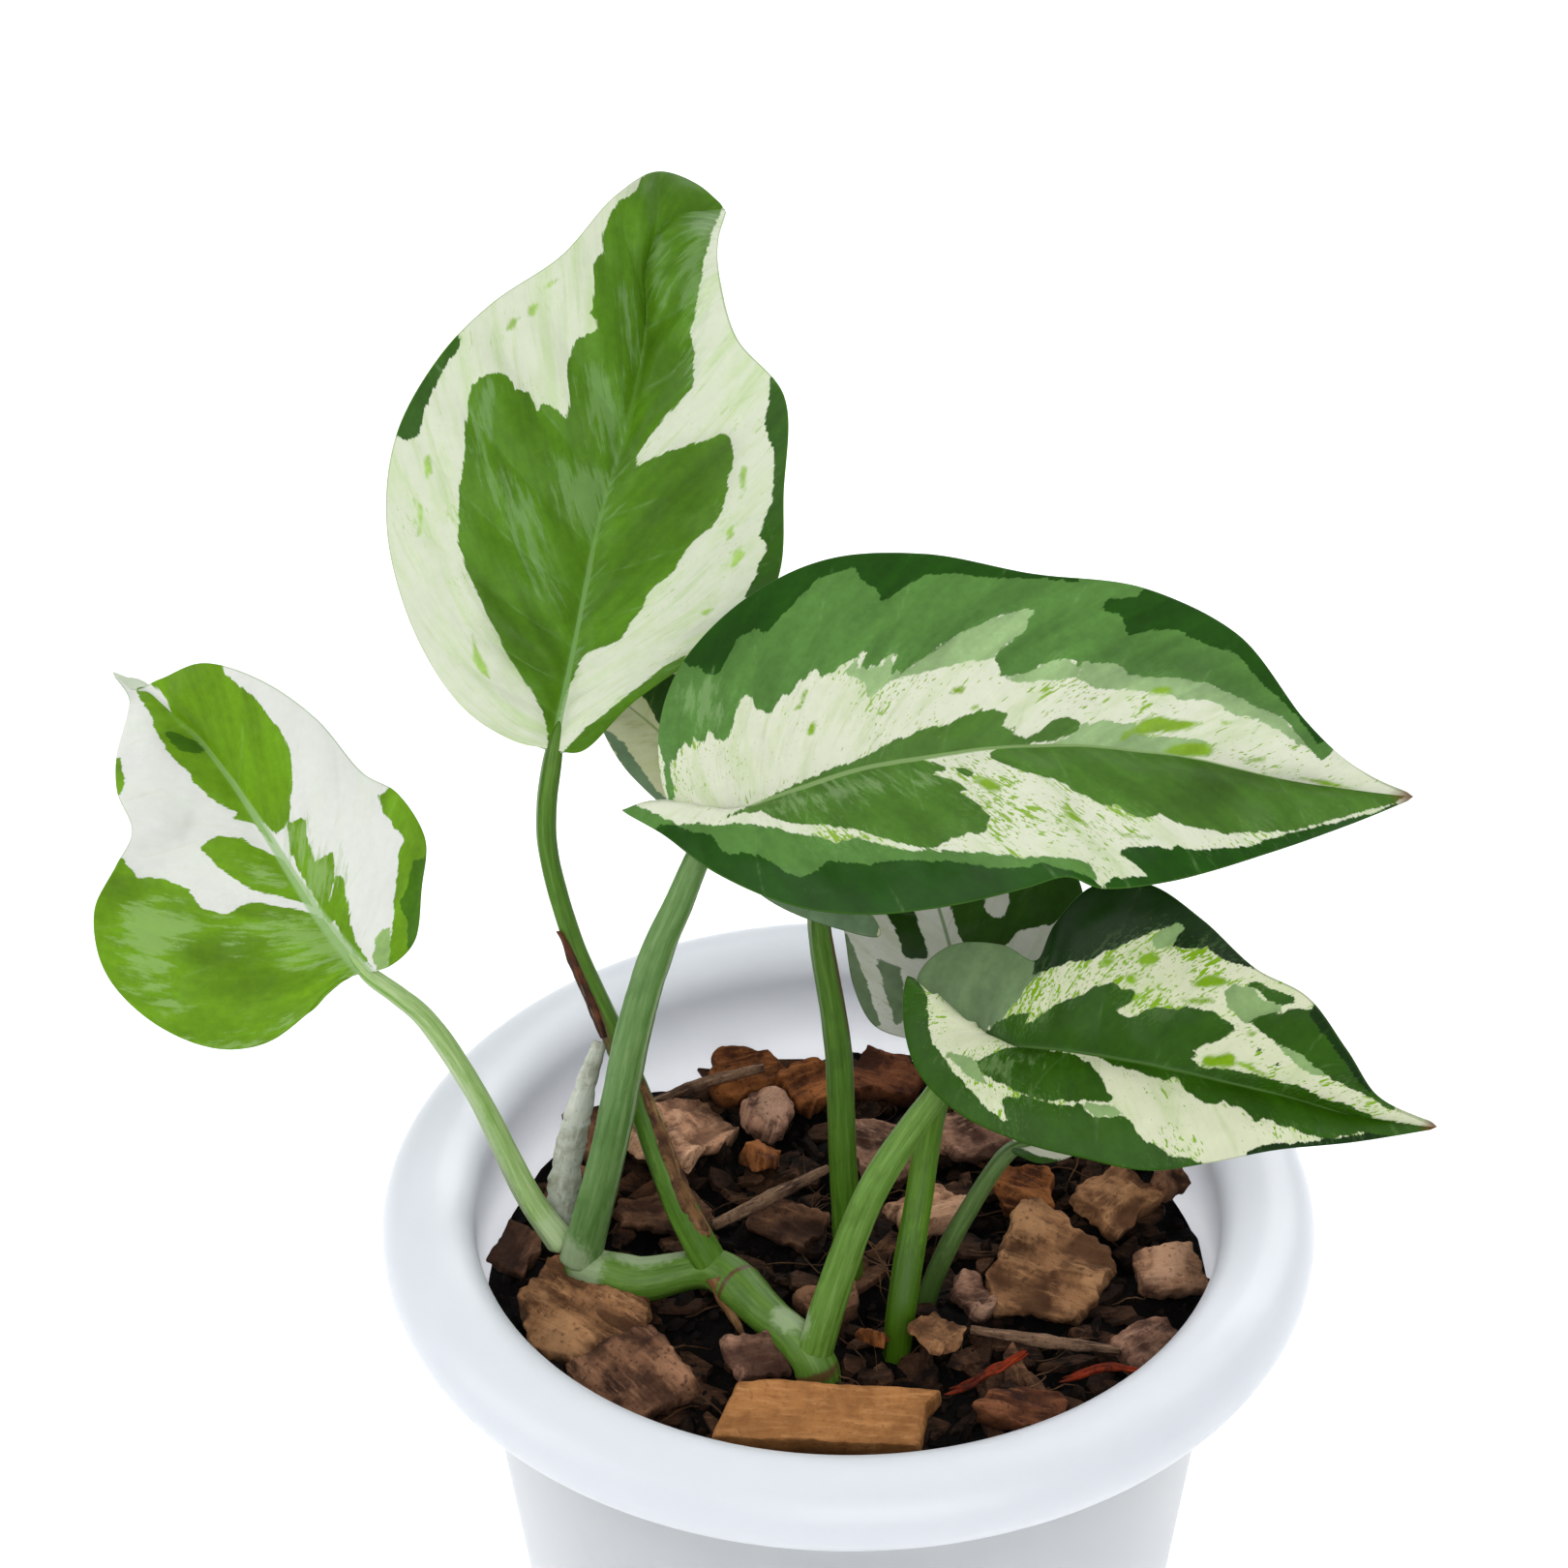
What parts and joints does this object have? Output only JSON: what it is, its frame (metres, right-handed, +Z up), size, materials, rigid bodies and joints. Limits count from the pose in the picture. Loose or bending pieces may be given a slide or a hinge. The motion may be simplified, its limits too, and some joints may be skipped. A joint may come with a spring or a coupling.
{
  "type": "potted variegated pothos",
  "caption": "Young pothos with green, grey-green and cream heart-shaped leaves on long stalks, in a round white plastic pot with a rolled lip and husk-chip medium.",
  "frame": {"origin": "centre of the pot's flat underside, on the surface it stands on", "axes": "+Z up, -Y towards the front where the tan wood block lies, +X to the right seen from the front"},
  "size_m": [0.153, 0.1175, 0.1882],
  "materials": {
    "pot_plastic": "satin",
    "medium": "matte",
    "husk": "matte",
    "sawn_wood": "matte",
    "twig": "matte",
    "red_fibre": "matte",
    "leaf": "satin",
    "stem": "satin",
    "pale_sheath": "matte",
    "brown_sheath": "matte"
  },
  "bodies": {
    "root": {"pot": "pot_plastic", "growing_medium": "medium", "vine_stem": "stem", "petiole_back": "stem", "petiole_front": "stem", "petiole_left": "stem", "petiole_low": "stem", "petiole_small": "stem", "petiole_tall": "stem", "petiole_under": "stem", "leaf_back": "leaf", "leaf_front": "leaf", "leaf_left": "leaf", "leaf_low": "leaf", "leaf_small": "leaf", "leaf_tall": "leaf", "leaf_under": "leaf", "fibre_front": "red_fibre", "fibre_right": "red_fibre", "husk_chip_01": "husk", "husk_chip_02": "husk", "husk_chip_03": "husk", "husk_chip_04": "husk", "husk_chip_05": "husk", "husk_chip_06": "husk", "husk_chip_07": "husk", "husk_chip_08": "husk", "husk_chip_09": "husk", "husk_chip_10": "husk", "husk_chip_11": "husk", "husk_chip_12": "husk", "husk_chip_13": "husk", "husk_chip_14": "husk", "husk_chip_15": "husk", "husk_chip_16": "husk", "husk_chip_17": "husk", "husk_chip_18": "husk", "husk_chip_19": "husk", "husk_chip_20": "husk", "husk_chip_21": "husk", "husk_chip_22": "husk", "husk_chip_23": "husk", "husk_chip_24": "husk", "husk_chip_25": "husk", "husk_chip_26": "husk", "husk_chip_27": "husk", "husk_chip_28": "husk", "husk_chip_29": "husk", "husk_chip_30": "husk", "pale_sheath": "pale_sheath", "sheath_tail": "brown_sheath", "twig_back": "twig", "twig_middle": "twig", "twig_right": "twig", "wood_block": "sawn_wood"}
  },
  "joints": []
}
